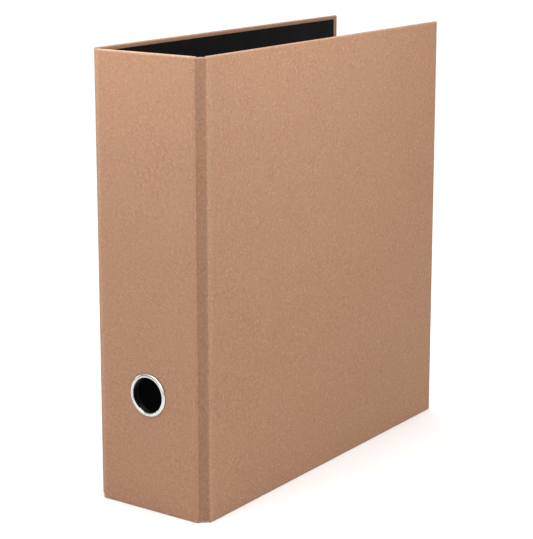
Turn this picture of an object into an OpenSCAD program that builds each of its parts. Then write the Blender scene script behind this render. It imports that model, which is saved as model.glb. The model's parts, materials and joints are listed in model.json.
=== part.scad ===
// Lever arch album: three paper-covered boards joined by two creased grooves,
// with a two-post lever arch mechanism riveted inside the back cover.
// +X runs from the back cover to the front cover, +Y from the spine to the open
// side, +Z up. The origin is at the bottom centre of the closed case.

/* [Case] */
// Height of the case
case_h = 318; // [300:1:330]
// Width of the spine panel, between the two grooves
spine_w = 84; // [80:1:100]
// Depth of each cover panel, from its groove to the open side
cover_d = 298; // [270:1:310]
// How far each groove steps across, and back, at a corner of the case
groove = 6.2; // [5.6:0.1:8]
// Thickness of the greyboard
board_t = 2.4; // [2:0.1:2.6]
// Thickness of the covering paper
paper_t = 0.3; // [0.2:0.05:0.4]
// Thickness of the lining paper
lining_t = 0.3; // [0.2:0.05:0.4]
// Width of the covering paper that is turned in over the edges
turn_in = 16; // [12:1:20]
// Distance from the top and bottom edges to the lining
lining_inset = 2.8; // [2:0.1:5]
// Distance from a cover's open edge to the lining
lining_end_inset = 5.5; // [3:0.5:8]
// Rounding of the paper-covered edges
edge_r = 0.8; // [0.5:0.1:1]

/* [Finger ring] */
// Height of the finger hole's centre
ring_z = 83.5; // [70:0.5:100]
// Radius of the finger hole
ring_bore_r = 12.5; // [11.5:0.1:13]
// Radius of the rolled lip's cross-section
ring_lip_r = 1.35; // [1:0.05:1.5]
// Thickness of the ring's barrel
ring_wall = 0.4; // [0.3:0.05:0.5]

/* [Mechanism] */
// Distance between the two posts, the standard two-hole spacing
post_pitch = 80; // [80:1:80]
// Diameter of the posts and of the arch wire
wire_d = 4; // [3.6:0.1:4]
// Height of the posts
post_h = 55; // [50:1:56]
// Distance from the spine's outside to the arch wire's shaft
shaft_u = 46; // [46:0.5:50]
// Distance from the arch wire's shaft to the posts
arch_span = 36; // [34:1:38]
// Length of the lever, from its pin to the end of its grip
lever_len = 54; // [50:1:55]
// Length of the base plate
plate_len = 146; // [140:1:150]
// Width of the base plate
plate_w = 54; // [54:1:56]

/* [Compressor] */
// Length of the compressor bar
bar_len = 124; // [110:1:126]
// Width of the compressor bar
bar_w = 14; // [12:0.5:15]

/* [Hidden] */
$fn = 64;

kraft = [0.72, 0.54, 0.42];
greyboard = [0.55, 0.53, 0.5];
black_paper = [0.08, 0.08, 0.08];
nickel = [0.75, 0.75, 0.76];
black_plastic = [0.05, 0.05, 0.05];

eps = 0.01;                                   // overlap that keeps a cut clean
far = 200;                                    // larger than any mechanism piece
case_w = spine_w + 2 * groove;
case_d = cover_d + groove;
wrap_t = board_t + 2 * paper_t;               // board with its covering paper
panel_t = wrap_t + lining_t;                  // a whole panel

// Groove: the paper spans from the spine panel's edge to the cover panel's edge
groove_sag = 0.9;                             // how far the paper dips inwards
groove_fit = 0.05;                            // gap to the cover's edge
groove_end_inset = 0.8;                       // set back from top and bottom
groove_half = (groove - edge_r) * sqrt(2) / 2;
groove_arc_r = (groove_half * groove_half + groove_sag * groove_sag) / (2 * groove_sag);

// Finger ring, measured outwards from the spine's outer face
ring_barrel_r = ring_bore_r + ring_wall;
washer_t = 0.5;
washer_r = ring_bore_r + 3.6;
clinch_r = 0.8;                               // rolled end, inside

// Mechanism, in its own axes: x from the spine's outside, y along the case's
// height from the mechanism's middle, z up from the back lining
mech_z = case_h / 2;
wire_r = wire_d / 2;
post_u = shaft_u + arch_span;
post_collar_r = 3.4;
post_collar_t = 1;
post_tenon_r = 1.5;                           // end of a post, in the plate

// Base plate, with ribs pressed up and a window under the crank
plate_t = 1.2;
plate_corner_r = 6;
plate_u = shaft_u - 8;
rib_r = 1;
end_rib_u = shaft_u + 18;
end_rib_y = 51;
end_rib_half = 15;
edge_rib_u = plate_u + plate_w - 4;
edge_rib_half = 30;
window_w = 11;
window_half = 16;
rivet_r = 1.6;
rivet_inset = 6;
rivet_head_r = 3.2;
cover_head_r = 4.2;                           // head on the cover's outside
head_t = 0.9;

// Arch wire and its bearings
arch_r = arch_span / 2;
shaft_h = 6;
running = 0.05;                               // radial gap of a turning fit
wire_gap = 0.3;                               // gap where the arch meets a post
bearing_wall = 1.4;
bearing_len = 6;
bearing_ys = [-31, -22, 22, 31];
arch_h = post_h + wire_d;                     // where the arches start to curve
leg_bend_r = 5;                               // bend from an arch's leg to the shaft

// Crank in the middle of the arch wire, which the lever's roller holds down
crank_len = 18;
crank_angle = -5;
crank_half = 14;
crank_bend_r = 4;

// Lever, in its own axes: x along the lever from its pin, y away from the posts
lever_u = shaft_u + 6;
lever_h = 10;
lever_angle = 76;
pin_r = 2;
cheek_t = 1.2;
cheek_in = 6.6;                               // from the middle to a cheek
cheek_r = 4.6;
web_t = 1.2;
web_y = cheek_r - web_t;
web_end = lever_len - 6;
web_start = -1.5;                             // the web laps over the pin
cheek_end = 34;                               // where the cheeks run into the web
bead_x = 38;                                  // thicker end, which holds the grip
bead_len = 8;
bead_rise = 0.4;
pin_head_r = 3.2;
roller_head_r = 2.2;
roller_reach = 11;                            // from the lever pin to the roller
roller_r = 3.3;
roller_pin_r = 1.3;
roller_half = cheek_in - 0.3;
roller_boss_r = 2.8;
roller_x = roller_reach * cos(-lever_angle);
roller_y = roller_reach * sin(-lever_angle);
grip_len = 16;
grip_w = 22;
grip_t = 5;
grip_corner_r = 5;
grip_edge_r = 1.6;

ear_t = 1.2;
ear_in = cheek_in + cheek_t + 0.8;
ear_r = 4.6;
ear_flare = 1.5;

// Compressor bar and its bushes
bar_t = 1.2;
bar_h = 3.2;
bar_rib_half = 26;
bush_r = 4.5;
bush_h = 5;
bush_gap = 0.1;
bar_hole_r = 3.1;

// A rectangle with round corners
module round_rect(w, h, r) {
    translate([r, 0]) square([w - 2 * r, h]);
    translate([0, r]) square([w, h - 2 * r]);
    for (x = [r, w - r], y = [r, h - r]) translate([x, y]) circle(r);
}

// A panel of width w along x, thickness t along y and height h along z,
// with every edge of its outline rounded
module slab(w, t, h, r) {
    intersection() {
        linear_extrude(h) round_rect(w, t, r);
        rotate([90, 0, 90]) linear_extrude(w) round_rect(t, h, r);
    }
}

// Places a panel: x along the panel from its groove, y from its outer face inwards
module at_spine() { translate([-spine_w / 2, -case_d / 2, 0]) children(); }
module at_front() {
    translate([case_w / 2, groove - case_d / 2, 0]) rotate([0, 0, 90]) children();
}
module at_back() { mirror([1, 0, 0]) at_front() children(); }

// Places a mechanism piece on the back cover's inside
module on_back() {
    translate([panel_t - case_w / 2, -case_d / 2, mech_z])
        rotate([90, 0, 90]) children();
}
// Places a piece on the finger hole's axis, z outwards from the spine's face
module on_ring() {
    translate([0, -case_d / 2, ring_z]) rotate([90, 0, 0]) children();
}
// Places a piece in the lever's axes, as it lies when the arches are closed
module on_lever() {
    on_back() translate([lever_u, 0, lever_h]) rotate([90, 0, 0])
        rotate([0, 0, lever_angle]) children();
}

// Greyboard core: its inner face is pressed in where the paper is turned in.
// first_turn is the turned-in width along its first edge, 0 at a groove
module board(w, first_turn, last_turn) {
    translate([paper_t, paper_t, paper_t])
        cube([w - 2 * paper_t, board_t, case_h - 2 * paper_t]);
    translate([paper_t + first_turn, paper_t + board_t - eps, turn_in])
        cube([w - 2 * paper_t - first_turn - last_turn, paper_t + eps,
              case_h - 2 * turn_in]);
}
module wrap(w, first_turn, last_turn) {
    difference() {
        slab(w, wrap_t, case_h, edge_r);
        board(w, first_turn, last_turn);
    }
}
// Lining sheet, which reaches the groove and stops short of the other edges
module lining(w, last_inset) {
    translate([0, wrap_t, lining_inset])
        cube([w - last_inset, lining_t, case_h - 2 * lining_inset]);
}

// Cuts through the back cover for the base plate's rivets
module rivet_holes() {
    on_back() for (p = rivet_points) translate([p.x, p.y, -far / 2])
        cylinder(r = rivet_r, h = far);
}
rivet_points = [for (x = [plate_u + rivet_inset, plate_u + plate_w - rivet_inset],
                     y = [-1, 1]) [x, y * (plate_len / 2 - rivet_inset)]];
module ring_hole() {
    on_ring() translate([0, 0, -2 * panel_t]) cylinder(r = ring_barrel_r, h = 4 * panel_t);
}

module spine_board() {
    color(greyboard) difference() {
        at_spine() board(spine_w, 0, 0);
        ring_hole();
    }
}
module front_board() { color(greyboard) at_front() board(cover_d, 0, turn_in); }
module back_board() {
    color(greyboard) difference() {
        at_back() board(cover_d, 0, turn_in);
        rivet_holes();
    }
}
module spine_cover_paper() {
    color(kraft) difference() {
        at_spine() wrap(spine_w, 0, 0);
        ring_hole();
    }
}
module front_cover_paper() { color(kraft) at_front() wrap(cover_d, 0, turn_in); }
module back_cover_paper() {
    color(kraft) difference() {
        at_back() wrap(cover_d, 0, turn_in);
        rivet_holes();
    }
}
module spine_lining() {
    color(black_paper) difference() {
        at_spine() lining(spine_w, 0);
        ring_hole();
    }
}
module front_lining() { color(black_paper) at_front() lining(cover_d, lining_end_inset); }
module back_lining() {
    color(black_paper) difference() {
        at_back() lining(cover_d, lining_end_inset);
        rivet_holes();
    }
}

// One layer of a groove: an arc that dips inwards between the panels' edges
module groove_layer(depth, t) {
    step = groove - edge_r;
    mid = [spine_w / 2 + step / 2, edge_r + step / 2 - case_d / 2];
    out = (groove_arc_r - groove_sag) / sqrt(2);
    low = [spine_w / 2, edge_r - case_d / 2 - paper_t];
    translate([0, 0, groove_end_inset]) linear_extrude(case_h - 2 * groove_end_inset)
        intersection() {
            translate([mid.x + out, mid.y - out]) difference() {
                circle(groove_arc_r + depth + t);
                circle(groove_arc_r + depth);
            }
            translate(low) square([step + paper_t, step + paper_t - groove_fit]);
        }
}
module front_groove_paper() { color(kraft) groove_layer(0, paper_t); }
module back_groove_paper() { color(kraft) mirror([1, 0, 0]) groove_layer(0, paper_t); }
module front_groove_lining() { color(black_paper) groove_layer(paper_t, lining_t); }
module back_groove_lining() {
    color(black_paper) mirror([1, 0, 0]) groove_layer(paper_t, lining_t);
}

// Eyelet with a rolled lip outside and a clinched end over the washer inside
module finger_ring() {
    back = -panel_t - washer_t;
    color(nickel) on_ring() rotate_extrude() {
        translate([ring_bore_r, back]) square([ring_wall, -back]);
        intersection() {
            translate([ring_bore_r + ring_lip_r, 0]) circle(ring_lip_r);
            square([far, ring_lip_r]);
        }
        intersection() {
            translate([ring_bore_r + clinch_r, back]) circle(clinch_r);
            translate([0, back - clinch_r]) square([far, clinch_r]);
        }
    }
}
module finger_ring_washer() {
    color(nickel) on_ring() translate([0, 0, -panel_t - washer_t]) difference() {
        cylinder(r = washer_r, h = washer_t);
        translate([0, 0, -1]) cylinder(r = ring_barrel_r, h = washer_t + 2);
    }
}

// Strap bent over the arch wire's shaft, with its foot on the plate
module bearing(y) {
    outer = wire_r + running + bearing_wall;
    translate([shaft_u, y + bearing_len / 2, shaft_h]) rotate([90, 0, 0])
        linear_extrude(bearing_len) difference() {
            union() {
                circle(outer);
                translate([-outer, plate_t - shaft_h - eps])
                    square([2 * outer, shaft_h - plate_t + eps]);
            }
            circle(wire_r + running);
        }
}
// Upright ear that holds one end of the lever's pin
module ear(y) {
    translate([lever_u, y + ear_t / 2, lever_h]) rotate([90, 0, 0])
        linear_extrude(ear_t) difference() {
            union() {
                circle(ear_r);
                polygon([[-ear_r, 0], [ear_r, 0],
                         [ear_r + ear_flare, plate_t - lever_h - eps],
                         [-ear_r - ear_flare, plate_t - lever_h - eps]]);
            }
            circle(pin_r);
        }
}
// Stiffening rib pressed up along the plate
module rib(x, half) {
    translate([x, -half, plate_t]) rotate([-90, 0, 0]) cylinder(r = rib_r, h = 2 * half);
    for (y = [-half, half]) translate([x, y, plate_t]) sphere(rib_r);
}
module base_plate() {
    color(nickel) on_back() {
        difference() {
            union() {
                linear_extrude(plate_t) translate([plate_u, -plate_len / 2])
                    round_rect(plate_w, plate_len, plate_corner_r);
                for (side = [-1, 1]) translate([0, side * end_rib_y, 0])
                    rib(end_rib_u, end_rib_half);
                rib(edge_rib_u, edge_rib_half);
            }
            translate([-far, -far, -far]) cube([2 * far, 2 * far, far]);
            for (p = rivet_points) translate([p.x, p.y, -1])
                cylinder(r = rivet_r, h = 3 * plate_t);
            for (y = [-1, 1]) translate([post_u, y * post_pitch / 2, -1])
                cylinder(r = post_tenon_r, h = 3 * plate_t);
            translate([shaft_u + crank_len - window_w / 2, -window_half, -1])
                cube([window_w, 2 * window_half, 3 * plate_t]);
        }
        for (y = bearing_ys) bearing(y);
        for (side = [-1, 1]) ear(side * (ear_in + ear_t / 2));
    }
}

// Domed rivet head that stands on z = 0
module dome(r, t) {
    sphere_r = (r * r + t * t) / (2 * t);
    intersection() {
        translate([0, 0, t - sphere_r]) sphere(sphere_r);
        translate([-r - 1, -r - 1, 0]) cube([2 * r + 2, 2 * r + 2, t + 1]);
    }
}
module base_rivets() {
    color(nickel) on_back() for (p = rivet_points) translate([p.x, p.y, 0]) {
        translate([0, 0, -panel_t]) cylinder(r = rivet_r, h = panel_t + plate_t);
        translate([0, 0, plate_t]) dome(rivet_head_r, head_t);
        translate([0, 0, -panel_t]) mirror([0, 0, 1]) dome(cover_head_r, head_t);
    }
}

// The slanted joint between a post and its arch lies in a plane through the
// shaft, so that the arch leaves it square on. Everything on the arch's side:
module arch_side(shift) {
    tip_angle = atan2(post_h - shaft_h, arch_span);
    translate([shaft_u, 0, shaft_h]) rotate([0, -tip_angle, 0])
        translate([-far, -far, shift]) cube([2 * far, 2 * far, far]);
}
// Everything on the post's side
module post_side(shift) {
    tip_angle = atan2(post_h - shaft_h, arch_span);
    translate([shaft_u, 0, shaft_h]) rotate([0, -tip_angle, 0])
        translate([-far, -far, shift - far]) cube([2 * far, 2 * far, far]);
}
module post(y) {
    on_back() difference() {
        translate([post_u, y, 0]) {
            cylinder(r = post_tenon_r, h = plate_t);
            translate([0, 0, plate_t]) cylinder(r = post_collar_r, h = post_collar_t);
            translate([0, 0, plate_t]) cylinder(r = wire_r, h = arch_h);
        }
        arch_side(-wire_gap / 2);
    }
}
module lower_post() { color(nickel) post(-post_pitch / 2); }
module upper_post() { color(nickel) post(post_pitch / 2); }

// Quarter bend of the wire in the x-y plane, from +x round to +y
module elbow(bend_r) {
    rotate_extrude(angle = 90) translate([bend_r, 0]) circle(wire_r);
}
// Straight wire along y from y = from to y = to
module wire_y(from, to) {
    translate([0, from, 0]) rotate([-90, 0, 0]) cylinder(r = wire_r, h = to - from);
}
// The end of an arch, cut to meet the post's slanted top
module arch_end() {
    difference() {
        translate([arch_span, 0, post_h - 2 * wire_d - shaft_h])
            cylinder(r = wire_r, h = 2 * wire_d + arch_h - post_h);
        translate([-shaft_u, 0, -shaft_h]) post_side(wire_gap / 2);
    }
}
// Half of the arch wire, from the middle of its crank to an arch's end.
// Its axes are the mechanism's, moved to the shaft
module half_wire() {
    straight = arch_h - shaft_h;
    y = post_pitch / 2;
    translate([0, y, leg_bend_r]) cylinder(r = wire_r, h = straight - leg_bend_r);
    translate([arch_r, y, straight]) rotate([90, 0, 0])
        rotate_extrude(angle = 180) translate([arch_r, 0]) circle(wire_r);
    translate([0, y, 0]) arch_end();
    translate([0, y - leg_bend_r, leg_bend_r]) rotate([90, 0, 90]) rotate([0, 0, -90])
        elbow(leg_bend_r);
    wire_y(crank_half + crank_bend_r, y - leg_bend_r);
    rotate([0, -crank_angle, 0]) {
        translate([crank_bend_r, crank_half + crank_bend_r, 0]) rotate([0, 0, 180])
            elbow(crank_bend_r);
        translate([crank_bend_r, crank_half, 0]) rotate([0, 90, 0])
            cylinder(r = wire_r, h = crank_len - 2 * crank_bend_r);
        translate([crank_len - crank_bend_r, crank_half - crank_bend_r, 0])
            elbow(crank_bend_r);
    }
}
module arch_wire() {
    color(nickel) on_back() translate([shaft_u, 0, shaft_h]) {
        half_wire();
        mirror([0, 1, 0]) half_wire();
        rotate([0, -crank_angle, 0]) translate([crank_len, 0, 0])
            wire_y(crank_bend_r - crank_half, crank_half - crank_bend_r);
    }
}

// One cheek's outline: round the pin, out to the roller and up along the lever
module cheek_outline() {
    pin_side = [-0.96 * cheek_r, -1.2];
    boss_left = [roller_x - 2.7, roller_y + 0.7];
    boss_right = [roller_x + 2.5, roller_y - 1.2];
    throat = [7.5, -2.5];
    tip = [cheek_end, 0.6];
    difference() {
        union() {
            circle(cheek_r);
            translate([roller_x, roller_y]) circle(roller_boss_r);
            polygon([pin_side, boss_left, boss_right, throat, tip,
                     [cheek_end, cheek_r], [0, cheek_r]]);
        }
        circle(pin_r + running);
        translate([roller_x, roller_y]) circle(roller_pin_r);
    }
}
// The web between the cheeks, which runs on into the grip and is thicker there
module lever_web(start) {
    half = cheek_in + cheek_t;
    translate([start, web_y, -half]) cube([web_end - start, web_t, 2 * half]);
    translate([bead_x, web_y - bead_rise, -half]) rotate([90, 0, 0])
        mirror([0, 0, 1]) linear_extrude(bead_rise + web_t / 2)
            round_rect(bead_len, 2 * half, 1);
}
module lever() {
    color(nickel) on_lever() {
        for (side = [-1, 1]) translate([0, 0, side * (cheek_in + cheek_t / 2) - cheek_t / 2])
            linear_extrude(cheek_t) cheek_outline();
        lever_web(web_start);
    }
}
// Moulded grip over the lever's end
module lever_grip() {
    grip_y = web_y + web_t / 2 - grip_t / 2;
    color(black_plastic) on_lever() difference() {
        translate([lever_len - grip_len, grip_y, -grip_w / 2]) intersection() {
            rotate([90, 0, 0]) translate([0, 0, -grip_t])
                linear_extrude(grip_t) round_rect(grip_len, grip_w, grip_corner_r);
            linear_extrude(grip_w) round_rect(grip_len, grip_t, grip_edge_r);
        }
        lever_web(0);
    }
}
// Riveted pin along z, with a head at each end
module headed_pin(r, half, head_r) {
    translate([0, 0, -half]) cylinder(r = r, h = 2 * half);
    for (side = [0, 1]) mirror([0, 0, side]) translate([0, 0, half]) dome(head_r, head_t);
}
module lever_pin() {
    color(nickel) on_lever() headed_pin(pin_r, ear_in + ear_t, pin_head_r);
}
module roller() {
    color(nickel) on_lever() translate([roller_x, roller_y, -roller_half]) difference() {
        cylinder(r = roller_r, h = 2 * roller_half);
        translate([0, 0, -1]) cylinder(r = roller_pin_r + running, h = 2 * roller_half + 2);
    }
}
module roller_pin() {
    color(nickel) on_lever() translate([roller_x, roller_y, 0])
        headed_pin(roller_pin_r, cheek_in + cheek_t, roller_head_r);
}

// Flat strip that slides on the posts and holds the sheets down
module compressor_bar() {
    color(nickel) on_back() translate([0, 0, bar_h]) difference() {
        union() {
            linear_extrude(bar_t) translate([post_u - bar_w / 2, -bar_len / 2])
                round_rect(bar_w, bar_len, bar_w / 2 - 0.5);
            translate([0, 0, bar_t - plate_t]) intersection() {
                rib(post_u, bar_rib_half);
                translate([0, -far, 0]) cube([far, 2 * far, far]);
            }
        }
        for (y = [-1, 1]) translate([post_u, y * post_pitch / 2, -1])
            cylinder(r = bar_hole_r, h = bar_t + 3);
    }
}
// Plastic bushes clipped through the bar, one round each post
module compressor_bushes() {
    color(black_plastic) on_back() for (side = [-1, 1])
        translate([post_u, side * post_pitch / 2, bar_h]) difference() {
            union() {
                cylinder(r = bar_hole_r, h = bush_h);
                translate([0, 0, bar_t]) cylinder(r = bush_r, h = bush_h - bar_t);
            }
            translate([0, 0, -1]) cylinder(r = wire_r + bush_gap, h = bush_h + 2);
        }
}

spine_board();
front_board();
back_board();
spine_cover_paper();
front_cover_paper();
back_cover_paper();
front_groove_paper();
back_groove_paper();
front_groove_lining();
back_groove_lining();
spine_lining();
front_lining();
back_lining();
finger_ring();
finger_ring_washer();
base_plate();
base_rivets();
lower_post();
upper_post();
arch_wire();
lever();
lever_grip();
lever_pin();
roller();
roller_pin();
compressor_bar();
compressor_bushes();
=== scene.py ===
"""Lever arch album: the looks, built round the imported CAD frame, in metres."""

import json
import math

import bmesh
import bpy
from mathutils import Matrix, Vector, noise


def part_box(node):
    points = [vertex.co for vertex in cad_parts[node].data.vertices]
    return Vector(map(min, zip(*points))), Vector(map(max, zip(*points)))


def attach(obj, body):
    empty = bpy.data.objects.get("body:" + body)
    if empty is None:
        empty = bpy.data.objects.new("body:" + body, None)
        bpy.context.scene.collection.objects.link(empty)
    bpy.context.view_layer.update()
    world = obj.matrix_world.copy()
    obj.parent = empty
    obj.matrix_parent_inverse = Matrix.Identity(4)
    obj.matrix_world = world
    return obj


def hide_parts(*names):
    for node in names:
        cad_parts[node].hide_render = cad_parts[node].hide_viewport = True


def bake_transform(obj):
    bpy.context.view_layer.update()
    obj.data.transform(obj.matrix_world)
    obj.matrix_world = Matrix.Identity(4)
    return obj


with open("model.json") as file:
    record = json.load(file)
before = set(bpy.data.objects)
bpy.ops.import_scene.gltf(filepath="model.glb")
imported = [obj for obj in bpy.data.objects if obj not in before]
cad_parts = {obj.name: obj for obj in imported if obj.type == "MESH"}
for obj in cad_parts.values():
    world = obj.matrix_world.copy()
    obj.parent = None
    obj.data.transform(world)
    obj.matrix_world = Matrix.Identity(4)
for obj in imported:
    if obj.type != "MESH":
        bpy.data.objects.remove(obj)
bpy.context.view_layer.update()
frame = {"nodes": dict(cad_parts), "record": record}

MM = 0.001


# ---------------------------------------------------------------- frame sizes

SPINE_LOW, SPINE_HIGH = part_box("spine_cover_paper")
FRONT_LOW, FRONT_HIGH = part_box("front_cover_paper")
LINING_LOW, LINING_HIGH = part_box("front_lining")
RING_LOW, RING_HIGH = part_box("finger_ring")

CASE_H = SPINE_HIGH.z
SPINE_W = SPINE_HIGH.x - SPINE_LOW.x
SPINE_FACE = SPINE_LOW.y
COVER_FACE = FRONT_HIGH.x
COVER_D = FRONT_HIGH.y - FRONT_LOW.y
COVER_START = FRONT_LOW.y
WRAP_T = FRONT_HIGH.x - FRONT_LOW.x
LINING_T = LINING_HIGH.x - LINING_LOW.x
LINING_INSET = LINING_LOW.z
LINING_END_INSET = FRONT_HIGH.y - LINING_HIGH.y
GROOVE = COVER_FACE - SPINE_HIGH.x
PAPER_T = 0.3 * MM
TURN_IN = 16 * MM       # how far the covering is turned in over the boards
EDGE_R = 0.95 * MM      # rounding of a covered board's edges
RING_CENTRE = (RING_LOW + RING_HIGH) / 2
RING_OUTER = (RING_HIGH.x - RING_LOW.x) / 2
HOLE_R = RING_OUTER - 2 * MM


# ------------------------------------------------------------- mesh building

def piece(name, bm, material, smooth=True):
    """Turns a bmesh in the row frame into a shown object."""
    bm.normal_update()
    mesh = bpy.data.meshes.new(name)
    bm.to_mesh(mesh)
    bm.free()
    mesh.materials.append(material)
    for polygon in mesh.polygons:
        polygon.use_smooth = smooth
    obj = bpy.data.objects.new(name, mesh)
    bpy.context.scene.collection.objects.link(obj)
    return obj


def apply_modifiers(obj):
    """Bakes an object's modifiers into its mesh."""
    depsgraph = bpy.context.evaluated_depsgraph_get()
    mesh = bpy.data.meshes.new_from_object(obj.evaluated_get(depsgraph))
    obj.modifiers.clear()
    obj.data = mesh


def rounded_slab(size, radius, cell, segments=4):
    """A closed box from the origin to size, its edges rounded, cut into cells."""
    bm = bmesh.new()
    bmesh.ops.create_cube(bm, size=1)
    for v in bm.verts:
        v.co = Vector((c + 0.5) * s for c, s in zip(v.co, size))
    bmesh.ops.bevel(
        bm, geom=bm.edges[:], offset=radius, segments=segments, profile=0.5,
        affect="EDGES", clamp_overlap=True,
    )
    for axis in range(3):
        cuts = int(size[axis] / cell)
        heights = [size[axis] * i / cuts for i in range(1, cuts)]
        if size[axis] > 4 * cell:
            heights += [radius * 2, size[axis] - radius * 2]
        for height in heights:
            place, normal = Vector((0, 0, 0)), Vector((0, 0, 0))
            place[axis] = height
            normal[axis] = 1
            everything = bm.verts[:] + bm.edges[:] + bm.faces[:]
            bmesh.ops.bisect_plane(bm, geom=everything, plane_co=place, plane_no=normal)
    return bm


def at_spine():
    """Panel axes (along, depth from the outer face, up) to the row frame."""
    return Matrix.Translation((SPINE_LOW.x, SPINE_FACE, 0))


def at_front():
    """Panel axes to the front cover's place."""
    turn = Matrix(((0, -1, 0, 0), (1, 0, 0, 0), (0, 0, 1, 0), (0, 0, 0, 1)))
    return Matrix.Translation((COVER_FACE, COVER_START, 0)) @ turn


def at_back():
    """Panel axes to the back cover's place, mirrored."""
    return Matrix.Diagonal((-1, 1, 1, 1)) @ at_front()


def place(bm, matrix):
    """Moves a bmesh into the row frame, with its faces outwards."""
    bmesh.ops.transform(bm, matrix=matrix, verts=bm.verts)
    if matrix.determinant() < 0:
        bmesh.ops.reverse_faces(bm, faces=bm.faces)
    return bm


def paint(obj, name, value_at):
    """Stores value_at(point) on every point, for the material to read."""
    layer = obj.data.attributes.new(name, "FLOAT", "POINT")
    layer.data.foreach_set("value", [value_at(v.co) for v in obj.data.vertices])


def ease(t):
    """Smooth step from 0 to 1."""
    t = min(1.0, max(0.0, t))
    return t * t * (3 - 2 * t)


# ------------------------------------------------------------------ materials

def new_material(name):
    """A material with only an output and a Principled shader."""
    mat = bpy.data.materials.new(name)
    mat.use_nodes = True
    tree = mat.node_tree
    tree.nodes.clear()
    out = tree.nodes.new("ShaderNodeOutputMaterial")
    shader = tree.nodes.new("ShaderNodeBsdfPrincipled")
    tree.links.new(shader.outputs[0], out.inputs["Surface"])
    return mat, tree, shader


def node(tree, kind, settings=None, **inputs):
    """Adds a node. Inputs are values or sockets, named with _ for spaces."""
    made = tree.nodes.new(kind)
    for key, value in (settings or {}).items():
        setattr(made, key, value)
    for key, value in inputs.items():
        index = key[1:]
        socket = made.inputs[int(index) if index.isdigit() else key.replace("_", " ")]
        if isinstance(value, bpy.types.NodeSocket):
            tree.links.new(value, socket)
        else:
            socket.default_value = value
    return made


def noise_at(tree, scale, detail=2.0, roughness=0.5, stretch=None):
    """Noise with scale cycles per metre; stretch scales the axes apart."""
    place_at = node(tree, "ShaderNodeTexCoord").outputs["Object"]
    if stretch:
        place_at = node(tree, "ShaderNodeMapping", Vector=place_at, Scale=stretch).outputs[0]
    made = node(
        tree, "ShaderNodeTexNoise", Vector=place_at, Scale=scale,
        Detail=detail, Roughness=roughness,
    )
    return made.outputs[0]


def spread(tree, value, low, high, to_low=0.0, to_high=1.0):
    """Maps a value's low..high to to_low..to_high, clamped."""
    made = node(
        tree, "ShaderNodeMapRange", Value=value, From_Min=low, From_Max=high,
        To_Min=to_low, To_Max=to_high,
    )
    return made.outputs[0]


def math_node(tree, operation, a, b):
    """The result of an operation on two values."""
    return node(tree, "ShaderNodeMath", {"operation": operation}, _0=a, _1=b).outputs[0]


def mixed(tree, factor, a, b):
    """Colour a turning into colour b."""
    made = node(tree, "ShaderNodeMix", {"data_type": "RGBA"}, _0=factor, _6=a, _7=b)
    return made.outputs[2]


def bump(tree, shader, height, distance, strength):
    """Gives the shader a relief, distance metres deep."""
    made = node(
        tree, "ShaderNodeBump", Height=height, Distance=distance, Strength=strength,
    )
    tree.links.new(made.outputs[0], shader.inputs["Normal"])


def rgb(r, g, b):
    """An opaque linear colour."""
    return (r, g, b, 1.0)


def extremes(tree, first, second, low, high):
    """Where either of two noises lies past low, fully from high."""
    return math_node(
        tree, "MAXIMUM", spread(tree, first, low, high), spread(tree, second, low, high),
    )


def attribute(tree, name):
    """A value that paint() stored on the mesh."""
    return node(tree, "ShaderNodeAttribute", {"attribute_name": name}).outputs["Fac"]


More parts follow.
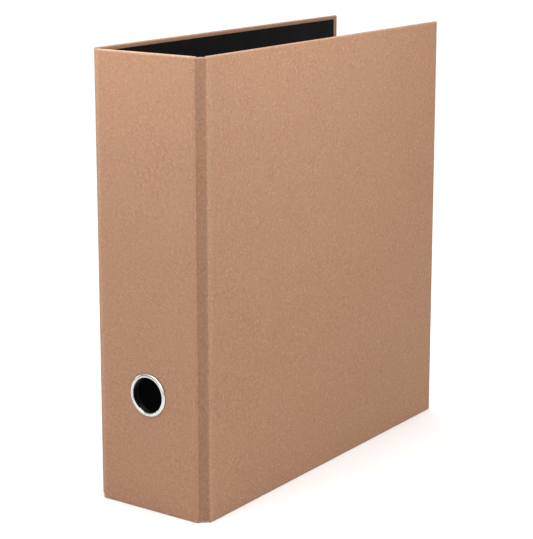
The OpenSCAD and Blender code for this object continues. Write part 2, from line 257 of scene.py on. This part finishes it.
def kraft_material():
    """Uncoated kraft paper: uneven warm pulp, fine tooth, pale and dark fibres."""
    mat, tree, shader = new_material("kraft_paper")
    cloud = noise_at(tree, 30, 3, 0.6)
    hue = noise_at(tree, 75, 2, 0.5)
    mottle = noise_at(tree, 420, 3, 0.6)
    tooth = noise_at(tree, 1800, 3, 0.65)
    upright = noise_at(tree, 2600, 2, 0.5, (1, 1, 0.25))
    level = noise_at(tree, 2500, 2, 0.5, (0.25, 0.25, 1))
    speck = noise_at(tree, 1150, 1, 0.4)
    clumps = spread(tree, mottle, 0.25, 0.75, 0.0, 0.46)
    pulp = math_node(tree, "ADD", clumps, spread(tree, tooth, 0.3, 0.7, 0.0, 0.5))
    pulp = spread(tree, pulp, 0.3, 0.64)
    base = mixed(tree, pulp, rgb(0.280, 0.146, 0.085), rgb(0.400, 0.215, 0.131))
    base = mixed(tree, spread(tree, hue, 0.4, 0.62, 0.0, 0.5), base, rgb(0.337, 0.190, 0.108))
    base = mixed(tree, spread(tree, cloud, 0.35, 0.65, 0.0, 0.3), base, rgb(0.370, 0.195, 0.118))
    pale = extremes(tree, upright, level, 0.66, 0.73)
    dark = extremes(tree, upright, level, 0.33, 0.27)
    base = mixed(tree, math_node(tree, "MULTIPLY", pale, 0.5), base, rgb(0.540, 0.362, 0.252))
    base = mixed(tree, math_node(tree, "MULTIPLY", dark, 0.45), base, rgb(0.178, 0.088, 0.052))
    base = mixed(tree, spread(tree, speck, 0.68, 0.74, 0.0, 0.7), base, rgb(0.585, 0.405, 0.29))
    base = mixed(tree, spread(tree, speck, 0.28, 0.24, 0.0, 0.6), base, rgb(0.150, 0.076, 0.043))
    # painted shade: darkens the paper where the mesh marks shade, in the grooves and on the
    # turned-in strips
    base = node(
        tree, "ShaderNodeMix", {"data_type": "RGBA", "blend_type": "MULTIPLY"},
        _0=attribute(tree, "pressed"), _6=base, _7=rgb(0.78, 0.765, 0.765),
    ).outputs[2]
    # painted highlight on the top edges and beside the grooves, and real wear on the bottom and
    # free edges, mixed in as a pale kraft
    patchy = spread(tree, mottle, 0.35, 0.7, 0.45, 0.95)
    worn_and_lit = math_node(tree, "MULTIPLY", attribute(tree, "wear_and_highlight"), patchy)
    base = mixed(tree, worn_and_lit, base, rgb(0.657, 0.477, 0.341))
    tree.links.new(base, shader.inputs["Base Color"])
    height = math_node(tree, "MULTIPLY_ADD", pale, 0.4)
    tree.links.new(tooth, height.node.inputs[2])
    bump(tree, shader, height, 0.06 * MM, 0.6)
    tree.links.new(spread(tree, mottle, 0.3, 0.7, 0.78, 0.88), shader.inputs["Roughness"])
    shader.inputs["Specular IOR Level"].default_value = 0.3
    return mat


def lining_material():
    """Matt black lining paper with a fine pressed grain."""
    mat, tree, shader = new_material("lining_paper")
    grain = noise_at(tree, 1300, 3, 0.6)
    scuff = noise_at(tree, 60, 3, 0.6)
    share = spread(tree, grain, 0.3, 0.7)
    base = mixed(tree, share, rgb(0.003, 0.003, 0.0031), rgb(0.006, 0.006, 0.0062))
    tree.links.new(base, shader.inputs["Base Color"])
    tree.links.new(spread(tree, scuff, 0.3, 0.7, 0.6, 0.72), shader.inputs["Roughness"])
    shader.inputs["Specular IOR Level"].default_value = 0.06
    bump(tree, shader, grain, 0.05 * MM, 0.5)
    return mat


def greyboard_material():
    """Recycled greyboard with dark and pale fibres."""
    mat, tree, shader = new_material("greyboard")
    pulp = noise_at(tree, 700, 4, 0.65)
    speck = noise_at(tree, 1600, 2, 0.5)
    base = mixed(tree, spread(tree, pulp, 0.3, 0.7), rgb(0.2, 0.185, 0.16), rgb(0.3, 0.28, 0.25))
    base = mixed(tree, spread(tree, speck, 0.68, 0.72, 0.0, 0.7), base, rgb(0.08, 0.075, 0.07))
    tree.links.new(base, shader.inputs["Base Color"])
    shader.inputs["Roughness"].default_value = 0.9
    bump(tree, shader, pulp, 0.1 * MM, 0.6)
    return mat


def nickel_material():
    """Bright nickel plate with faint handling marks, painted black and rougher inside the ring's
    barrel as painted shade.
    """
    mat, tree, shader = new_material("polished_nickel")
    haze = noise_at(tree, 180, 4, 0.6)
    shader.inputs["Metallic"].default_value = 1.0
    base = mixed(tree, spread(tree, haze, 0.3, 0.7), rgb(0.55, 0.54, 0.52), rgb(0.64, 0.63, 0.61))
    rough = spread(tree, haze, 0.3, 0.7, 0.12, 0.24)
    painted_barrel_shade = attribute(tree, "painted_barrel_shade")
    rough = math_node(tree, "MAXIMUM", rough, math_node(tree, "MULTIPLY", painted_barrel_shade, 0.45))
    # painted shade: black inside the ring's barrel
    tree.links.new(mixed(tree, painted_barrel_shade, base, rgb(0.03, 0.03, 0.03)), shader.inputs["Base Color"])
    tree.links.new(rough, shader.inputs["Roughness"])
    bump(tree, shader, noise_at(tree, 900, 2, 0.5), 0.01 * MM, 0.4)
    return mat


def plated_sheet_material():
    """Satin plated sheet steel, with rolling lines along the sheet."""
    mat, tree, shader = new_material("plated_sheet")
    lines = noise_at(tree, 2600, 2, 0.5, (1, 1, 0.02))
    haze = noise_at(tree, 120, 4, 0.6)
    shader.inputs["Metallic"].default_value = 1.0
    base = mixed(tree, spread(tree, haze, 0.3, 0.7), rgb(0.45, 0.44, 0.425), rgb(0.54, 0.53, 0.51))
    tree.links.new(base, shader.inputs["Base Color"])
    tree.links.new(spread(tree, lines, 0.3, 0.7, 0.24, 0.38), shader.inputs["Roughness"])
    bump(tree, shader, lines, 0.01 * MM, 0.5)
    return mat


def plastic_material():
    """Black moulded plastic with a spark-eroded texture."""
    mat, tree, shader = new_material("black_plastic")
    grain = noise_at(tree, 1800, 2, 0.5)
    share = spread(tree, grain, 0.3, 0.7)
    base = mixed(tree, share, rgb(0.014, 0.014, 0.015), rgb(0.022, 0.022, 0.023))
    tree.links.new(base, shader.inputs["Base Color"])
    tree.links.new(spread(tree, grain, 0.3, 0.7, 0.4, 0.5), shader.inputs["Roughness"])
    bump(tree, shader, grain, 0.03 * MM, 0.5)
    return mat


def floor_material():
    """Plain near-white floor."""
    mat, tree, shader = new_material("studio_floor")
    base = mixed(tree, noise_at(tree, 3, 2), rgb(0.93, 0.93, 0.93), rgb(0.95, 0.95, 0.95))
    tree.links.new(base, shader.inputs["Base Color"])
    shader.inputs["Roughness"].default_value = 0.9
    return mat


KRAFT = kraft_material()
LINING = lining_material()
GREYBOARD = greyboard_material()
NICKEL = nickel_material()
SHEET = plated_sheet_material()
PLASTIC = plastic_material()
EDGE_SOFTENING = {      # bevel width of each node whose CAD edges are sharp
    "base_plate": 0.25 * MM,
    "lever": 0.2 * MM,
    "lever_grip": 0.5 * MM,
    "roller": 0.3 * MM,
    "compressor_bar": 0.2 * MM,
    "compressor_bushes": 0.3 * MM,
    "finger_ring_washer": 0.12 * MM,
}
BY_SLOT = {
    "kraft_paper": KRAFT,
    "lining_paper": LINING,
    "greyboard": GREYBOARD,
    "polished_nickel": NICKEL,
    "plated_sheet": SHEET,
    "black_plastic": PLASTIC,
}


def dress_cad_nodes():
    """Every CAD node gets the material of its slot, and sharp ones get soft edges."""
    for sub in frame["record"]["subparts"]:
        obj = frame["nodes"][sub["node"]]
        obj.data.materials.clear()
        obj.data.materials.append(BY_SLOT[sub["material_slot"]])
        if sub["node"] in EDGE_SOFTENING:
            soft = obj.modifiers.new("soft_edges", "BEVEL")
            soft.width = EDGE_SOFTENING[sub["node"]]
            soft.segments = 2
            soft.limit_method = "ANGLE"
            soft.angle_limit = math.radians(50)
            soft.harden_normals = True


# -------------------------------------------------------------- paper panels

# painted highlight along the top edges and beside the grooves; EDGE_WEAR is real wear on the
# bottom and free edges
TOP_HIGHLIGHT, TOP_HIGHLIGHT_REACH = 0.8, 1.6 * MM
COVER_TOP_SHARE = 0.35
EDGE_WEAR, EDGE_WEAR_REACH = 0.3, 3 * MM
GROOVE_SIDE_HIGHLIGHT, GROOVE_SIDE_REACH = 0.1, 6 * MM
SPINE_SIDE_HIGHLIGHT, SPINE_SIDE_REACH = 0.2, 3 * MM
PANEL_CELL = 6 * MM
TURNED_IN_SHADE = 0.8


def panel_wear_and_highlight(width, is_cover):
    """Painted highlight along a panel's top edge, real wear less along its bottom and free end,
    and painted highlight slightly beside the grooves: on each cover, and on the spine's back side."""
    def near(p):
        worn_and_lit = TOP_HIGHLIGHT - (CASE_H - p.z) / TOP_HIGHLIGHT_REACH
        worn_and_lit = max(worn_and_lit, EDGE_WEAR - p.z / EDGE_WEAR_REACH)
        if is_cover:
            worn_and_lit = max(COVER_TOP_SHARE * worn_and_lit, EDGE_WEAR - (width - p.x) / EDGE_WEAR_REACH)
            worn_and_lit = max(worn_and_lit, GROOVE_SIDE_HIGHLIGHT * (1 - ease(p.x / GROOVE_SIDE_REACH)))
        else:
            worn_and_lit = max(worn_and_lit, SPINE_SIDE_HIGHLIGHT * (1 - ease(p.x / SPINE_SIDE_REACH)))
        return max(0.0, worn_and_lit)
    return near


def turned_in_pressed(p):
    """How much painted shade darkens the turned-in paper on a board's inner side."""
    return TURNED_IN_SHADE * ease((p.y - 0.6 * WRAP_T) / (0.3 * WRAP_T))


def settle(bm, seed):
    """Lets the paper follow the board's slight unevenness on its outer face."""
    for v in bm.verts:
        inside = min(v.co.z, CASE_H - v.co.z) / (4 * MM)
        if v.co.y < EDGE_R and inside > 0:
            slow = noise.noise(Vector((v.co.x, seed, v.co.z)) * 14)
            quick = noise.noise(Vector((v.co.x, seed + 5, v.co.z)) * 70)
            v.co.y += (0.1 * slow + 0.03 * quick) * MM * min(1.0, inside)


def covering(name, body, cad_node, width, matrix, free_end, seed):
    """The kraft paper round one board: outside, over the edges and turned in."""
    bm = rounded_slab((width, WRAP_T, CASE_H), EDGE_R, PANEL_CELL)
    last = width - TURN_IN if free_end else width
    window = [
        f for f in bm.faces
        if f.calc_center_median().y > WRAP_T - 0.02 * MM
        and f.calc_center_median().x < last
        and TURN_IN < f.calc_center_median().z < CASE_H - TURN_IN
    ]
    bmesh.ops.delete(bm, geom=window, context="FACES")
    settle(bm, seed)
    obj = piece(name, bm, KRAFT)
    # painted highlight along the top edges and beside the grooves, with real wear on the bottom
    # and free edges
    paint(obj, "wear_and_highlight", panel_wear_and_highlight(width, free_end))
    # painted shade on the turned-in paper of each board
    paint(obj, "pressed", turned_in_pressed)
    thick = obj.modifiers.new("paper", "SOLIDIFY")
    thick.thickness, thick.offset = PAPER_T, -1
    apply_modifiers(obj)
    obj.data.transform(matrix)
    if matrix.determinant() < 0:
        obj.data.flip_normals()
    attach(obj, body)
    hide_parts(cad_node)
    return obj


def lining_sheet(name, body, cad_node, width, matrix, free_end):
    """Black lining: its middle lies a paper's thickness lower than its border,
    which is glued over the turned-in covering."""
    far_inset = LINING_END_INSET if free_end else 0
    edge_r, cell, sink, slope = 0.1 * MM, 4 * MM, 0.2 * MM, 2.5 * MM
    size = (width - far_inset, LINING_T, CASE_H - 2 * LINING_INSET)
    bm = rounded_slab(size, edge_r, cell, 2)
    for v in bm.verts:
        v.co += Vector((0, WRAP_T, LINING_INSET))
        d = min(v.co.z, CASE_H - v.co.z)
        if free_end:
            d = min(d, width - v.co.x)
        v.co.y -= sink * ease((d - TURN_IN) / slope)
    obj = piece(name, place(bm, matrix), LINING)
    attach(obj, body)
    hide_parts(cad_node)
    return obj


def cut_hole(obj, centre, radius, depth):
    """Drills a round hole along Y."""
    bm = bmesh.new()
    bmesh.ops.create_cone(
        bm, cap_ends=True, segments=96, radius1=radius, radius2=radius, depth=depth,
    )
    along_y = Matrix.Translation(centre) @ Matrix.Rotation(math.pi / 2, 4, "X")
    bmesh.ops.transform(bm, matrix=along_y, verts=bm.verts)
    tool = piece("drill", bm, KRAFT)
    cut = obj.modifiers.new("hole", "BOOLEAN")
    cut.operation, cut.object, cut.solver = "DIFFERENCE", tool, "EXACT"
    apply_modifiers(obj)
    bpy.data.objects.remove(tool)


def make_panels():
    """The covering and lining of the spine and both covers."""
    hole = (RING_CENTRE.x, SPINE_FACE, RING_CENTRE.z)
    through = 20 * MM
    spine = covering(
        "spine_covering", "spine", "spine_cover_paper", SPINE_W, at_spine(), False, 1.0,
    )
    cut_hole(spine, hole, HOLE_R, through)
    covering("front_covering", "front_cover", "front_cover_paper", COVER_D, at_front(), True, 2.0)
    covering("back_covering", "back_cover", "back_cover_paper", COVER_D, at_back(), True, 3.0)
    inner = lining_sheet("spine_inside", "spine", "spine_lining", SPINE_W, at_spine(), False)
    cut_hole(inner, hole, HOLE_R, through)
    lining_sheet("front_inside", "front_cover", "front_lining", COVER_D, at_front(), True)
    lining_sheet("back_inside", "back_cover", "back_lining", COVER_D, at_back(), True)


# ------------------------------------------------------------------- grooves
# A groove's section is drawn in (a, b): a is the distance in from the cover's
# outer face and b the distance in from the spine's, so swapping them mirrors a
# point about the groove's middle.

GROOVE_ROUND = 1.3 * MM     # rounding of the paper over the boards' edges
GROOVE_DIP = 0.72 * MM
GROOVE_LEAN = math.radians(38)
FOLDED_T = 2 * PAPER_T
STRIP_CELL = 4 * MM
STRIP_INSET = 0.5 * MM
STRIP_END_ROWS = (0, 0.1 * MM, 0.3 * MM, 1.2 * MM)
STRIP_END_SHARES = (0.3, 0.75)
STRIP_SWAY = 0.12 * MM
END_PALE_REACH = 1.6 * MM
# painted shade in the groove: how far its edge wanders, and where it fades on the spine and cover
# sides
SHADE_WANDER = 0.35 * MM
SPINE_SHADE = (0.4 * MM, 2.4 * MM)    # where the painted shade fades, and how far
COVER_SHADE = (0.9 * MM, 1.7 * MM)


def mirrored(half):
    """The other half of a groove's outline, from its middle outwards."""
    return [Vector((b, a)) for a, b in reversed(half)]


def groove_chord(t, depth):
    """A point across the groove, t from 0 at the spine to 1 at the cover, depth in."""
    a0 = GROOVE + GROOVE_ROUND * (1 - math.cos(GROOVE_LEAN))
    b0 = GROOVE_ROUND * (1 - math.sin(GROOVE_LEAN))
    inwards = (depth + GROOVE_DIP * math.sin(math.pi * t) ** 0.8) / math.sqrt(2)
    return Vector((a0 + (b0 - a0) * t + inwards, b0 + (a0 - b0) * t + inwards))


def groove_covering_lines():
    """Outer and inner side of the covering across a groove: off the spine's face,
    round its edge, across in a shallow dip, and round on to the cover's face."""
    wing, proud, skin = 1.8 * MM, 0.03 * MM, 0.05 * MM
    corner = GROOVE + GROOVE_ROUND
    outer = [(corner + wing, 0.0), (corner + wing / 2, -proud)]
    inner = [(corner + wing, skin), (corner + wing / 2, skin)]
    steps = 6
    for i in range(steps + 1):
        turn = (math.pi / 2 - GROOVE_LEAN) * i / steps
        thick = skin + (FOLDED_T - skin) * max(0, i - 3) / 3
        for line, r in ((outer, GROOVE_ROUND + proud), (inner, GROOVE_ROUND - thick)):
            line.append((corner - r * math.sin(turn), GROOVE_ROUND - r * math.cos(turn)))
    spans = [i / 12 for i in range(1, 12)]
    middle_out = [groove_chord(t, 0) for t in spans]
    middle_in = [groove_chord(t, FOLDED_T) for t in spans]
    return outer + middle_out + mirrored(outer), inner + middle_in + mirrored(inner)


def groove_lining_lines():
    """Both sides of the lining: off the spine's lining, over the board's edge, on
    the back of the covering, and up on to the cover's lining."""
    level = WRAP_T + LINING_T
    tip, skin, r, overhang = 0.03 * MM, 0.05 * MM, 0.55 * MM, 0.15 * MM
    far, near, gap = 2 * MM, 0.8 * MM, 0.03 * MM
    corner = GROOVE - overhang + r
    upper = [(corner + far, level), (corner + near, level + tip)]
    lower = [(corner + far, level - skin), (corner + near, level - skin)]
    steps = 4
    for i in range(steps + 1):
        turn = math.radians(60) * i / steps
        thick = skin + (LINING_T - skin) * i / steps
        for line, ring in ((upper, r), (lower, r - thick)):
            line.append((corner - ring * math.sin(turn), level + tip - r + ring * math.cos(turn)))
    spans = [0.3 + 0.4 * i / 8 for i in range(9)]
    middle_up = [groove_chord(t, FOLDED_T + LINING_T + gap) for t in spans]
    middle_low = [groove_chord(t, FOLDED_T + gap) for t in spans]
    return upper + middle_up + mirrored(upper), lower + middle_low + mirrored(lower)


def strip(first, second, inset, sway):
    """A closed strip up the groove between two lines of points with equal counts.
    Its ends are rounded, and sway(z) moves its middle in or out."""
    bm = bmesh.new()
    half = list(zip(first, second))
    heights = [inset + d for d in STRIP_END_ROWS]
    heights += [STRIP_CELL * i for i in range(1, int(CASE_H / STRIP_CELL))]
    heights += [CASE_H - inset - d for d in reversed(STRIP_END_ROWS)]
    rows = []
    for i, z in enumerate(heights):
        from_end = min(i, len(heights) - 1 - i)
        keep = STRIP_END_SHARES[from_end] if from_end < len(STRIP_END_SHARES) else 1.0
        row = []
        ring = [(Vector(p), Vector(q)) for p, q in half]
        ring += [(Vector(q), Vector(p)) for p, q in reversed(half)]
        for k, (near, other) in enumerate(ring):
            mid = (near + other) / 2
            at = mid + (near - mid) * keep
            j = k if k < len(half) else 2 * len(half) - 1 - k
            at += Vector((1, 1)) * sway(z) * math.sin(math.pi * j / (len(half) - 1)) ** 4
            row.append(bm.verts.new((COVER_FACE - at.x, SPINE_FACE + at.y, z)))
        rows.append(row)
    count = 2 * len(half)
    for low, high in zip(rows, rows[1:]):
        for k in range(count):
            n = (k + 1) % count
            bm.faces.new((low[k], low[n], high[n], high[k]))
    for row in (rows[0], rows[-1]):
        for k in range(len(half) - 1):
            bm.faces.new((row[k], row[k + 1], row[count - 2 - k], row[count - 1 - k]))
    bmesh.ops.recalc_face_normals(bm, faces=bm.faces)
    return bm


def bend_between(obj, node_name):
    """Hides the CAD node that a groove piece replaces, and bakes the piece's transform into its
    mesh.
    """
    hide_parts(node_name)
    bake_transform(obj)


def groove_pressed(p):
    """Painted shade in the groove: darkest in the dip between the boards, fading out on to the
    spine and the cover.
    """
    a = COVER_FACE - abs(p.x)
    b = p.y - SPINE_FACE
    wander = SHADE_WANDER * noise.noise(Vector((p.x * 20, 4, p.z * 70)))
    if a > b:
        start, reach = SPINE_SHADE
        return 1 - ease((a - GROOVE + start + wander) / reach)
    start, reach = COVER_SHADE
    return 1 - ease((b - GROOVE + start + wander) / reach)


def groove_wear_and_highlight(p):
    """Paler at both ends, a painted highlight at the top end, and painted highlight along the
    cover's edge and on the spine's back side.
    """
    end = max(0.0, 1.0 - min(p.z, CASE_H - p.z) / END_PALE_REACH)
    a = COVER_FACE - abs(p.x)
    b = p.y - SPINE_FACE
    spine_side = SPINE_SIDE_HIGHLIGHT * ease((a - GROOVE) / MM) if p.x < 0 else 0.0
    return max(end, spine_side, GROOVE_SIDE_HIGHLIGHT * ease((b - GROOVE) / MM))


def make_groove(side):
    """One groove's covering and lining. side is 1 for front and -1 for back."""
    name = "front" if side > 0 else "back"
    flip = Matrix.Diagonal((side, 1, 1, 1))

    def sway(z):
        return STRIP_SWAY * noise.noise(Vector((side * 3, 7, z * 45)))

    bm = strip(*groove_covering_lines(), STRIP_INSET, sway)
    paper = piece(f"{name}_groove_covering", place(bm, flip), KRAFT)
    # painted highlight at the groove's ends and along its sides
    paint(paper, "wear_and_highlight", groove_wear_and_highlight)
    # painted shade darkening the groove
    paint(paper, "pressed", groove_pressed)
    bend_between(paper, f"{name}_groove_paper")
    bm = strip(*groove_lining_lines(), LINING_INSET, sway)
    inside = piece(f"{name}_groove_inside", place(bm, flip), LINING)
    bend_between(inside, f"{name}_groove_lining")


# ---------------------------------------------------------------- metal parts

def lathe(name, profile, centre, axis_turn, material, segments=128):
    """Turns a closed (radius, along) outline about an axis through centre."""
    bm = bmesh.new()
    rings = []
    for i in range(segments):
        a = 2 * math.pi * i / segments
        rings.append([bm.verts.new((r * math.cos(a), r * math.sin(a), h)) for r, h in profile])
    count = len(profile)
    for i in range(segments):
        here, there = rings[i], rings[(i + 1) % segments]
        for k in range(count):
            n = (k + 1) % count
            bm.faces.new((here[k], there[k], there[n], here[n]))
    bmesh.ops.recalc_face_normals(bm, faces=bm.faces)
    place(bm, Matrix.Translation(centre) @ axis_turn)
    return piece(name, bm, material)


def make_finger_ring():
    """Rolled eyelet: barrel, domed lip outside and clinched edge inside."""
    wall, lip_w, lip_h, clinch = 0.4 * MM, 2.7 * MM, 1.45 * MM, 0.8 * MM
    bore = RING_OUTER - lip_w
    back = -(WRAP_T + LINING_T + 0.5 * MM)
    lip_steps, barrel_steps, clinch_steps = 18, 6, 8
    profile = []
    for i in range(lip_steps + 1):
        a = math.pi * i / lip_steps
        share = (1 - math.cos(a)) / 2
        profile.append((bore + lip_w * share ** 1.5, lip_h * math.sin(a) ** 0.75))
    profile.append((bore + lip_w - 0.15 * MM, -0.02 * MM))
    profile.append((bore + wall + 0.1 * MM, -0.02 * MM))
    profile.append((bore + wall, -0.15 * MM))
    profile.append((bore + wall, back))
    barrel = [(bore, back * i / barrel_steps) for i in range(barrel_steps, 0, -1)]
    for i in range(clinch_steps + 1):
        a = math.pi * i / clinch_steps
        profile.append((bore + clinch + clinch * math.cos(a), back - clinch * 0.85 * math.sin(a)))
    profile += barrel[1:]
    ring = lathe(
        "finger_ring_eyelet", profile, (RING_CENTRE.x, SPINE_FACE, RING_CENTRE.z),
        Matrix.Rotation(math.pi / 2, 4, "X"), NICKEL,
    )

    # painted shade: marks the inside of the barrel, which the nickel colours black
    def inside(p):
        from_axis = math.hypot(p.x - RING_CENTRE.x, p.z - RING_CENTRE.z)
        return ease((p.y - SPINE_FACE + 0.2 * MM) / (0.4 * MM)) * (from_axis < bore + wall / 2)

    paint(ring, "painted_barrel_shade", inside)
    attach(ring, "spine")
    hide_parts("finger_ring")


# --------------------------------------------------------------------- studio

def area_light(name, target, azimuth, elevation, distance, size, energy):
    """A soft box that faces a point and isn't seen itself. Azimuth 0 is in front
    of the spine and elevation is upwards, both in degrees."""
    target = Vector(target)
    a, e = math.radians(azimuth), math.radians(elevation)
    out = Vector((math.sin(a) * math.cos(e), -math.cos(a) * math.cos(e), math.sin(e)))
    light = bpy.data.lights.new(name, "AREA")
    light.shape, light.size, light.energy = "SQUARE", size, energy
    obj = bpy.data.objects.new(name, light)
    bpy.context.scene.collection.objects.link(obj)
    obj.location = target + out * distance
    obj.rotation_mode = "QUATERNION"
    obj.rotation_quaternion = (-out).to_track_quat("-Z", "Y")
    obj.visible_camera = False
    return obj


def make_world(horizon, zenith):
    """A grey surround that brightens from the horizon to straight up."""
    world = bpy.data.worlds.new("studio")
    world.use_nodes = True
    tree = world.node_tree
    direction = node(tree, "ShaderNodeTexCoord").outputs["Generated"]
    sky = node(tree, "ShaderNodeSeparateXYZ", Vector=direction)
    height = math_node(tree, "MULTIPLY", sky.outputs["Z"], sky.outputs["Z"])
    level = spread(tree, height, 0.0, 1.0, horizon, zenith)
    tree.links.new(level, tree.nodes["Background"].inputs["Strength"])
    tree.nodes["Background"].inputs["Color"].default_value = rgb(1, 1, 1)
    bpy.context.scene.world = world


def make_studio():
    """Pale floor, soft boxes round the case and a card that only the metal shows."""
    bm = bmesh.new()
    bmesh.ops.create_grid(bm, x_segments=8, y_segments=8, size=20)
    piece("studio_floor", bm, floor_material())
    middle = (0, 0, CASE_H / 2)
    spine_top = (-10 * MM, -152 * MM, 300 * MM)
    cover_top = (48 * MM, -40 * MM, 300 * MM)
    area_light("right_box", middle, 72, 18, 1.5, 0.35, 0.55)
    area_light("left_box", middle, -84, 12, 1.5, 0.5, 5.0)
    area_light("spine_box", spine_top, -5, 42, 0.26, 0.22, 0.70)
    area_light("cover_box", cover_top, 85, 42, 0.28, 0.26, 0.75)
    card = area_light("ring_card", RING_CENTRE, 22, 32, 0.6, 0.6, 1.9)
    card.visible_diffuse = False
    make_world(0.36, 1.95)


def make_camera():
    """A little above the album, 35 degrees round from the spine. The shift keeps
    the uprights nearer to parallel."""
    camera = bpy.data.cameras.new("camera")
    camera.sensor_width, camera.lens = 36, 111.7
    camera.shift_y = -0.1
    obj = bpy.data.objects.new("camera", camera)
    bpy.context.scene.collection.objects.link(obj)
    yaw, pitch = math.radians(35.2), math.radians(11.9)
    obj.location = (0.6961, -0.9987, 0.4393)
    obj.rotation_euler = (math.pi / 2 - pitch, 0, yaw)
    bpy.context.scene.camera = obj


bpy.context.scene.view_settings.view_transform = "Standard"
make_camera()
dress_cad_nodes()
make_panels()
make_groove(1)
make_groove(-1)
make_finger_ring()
make_studio()
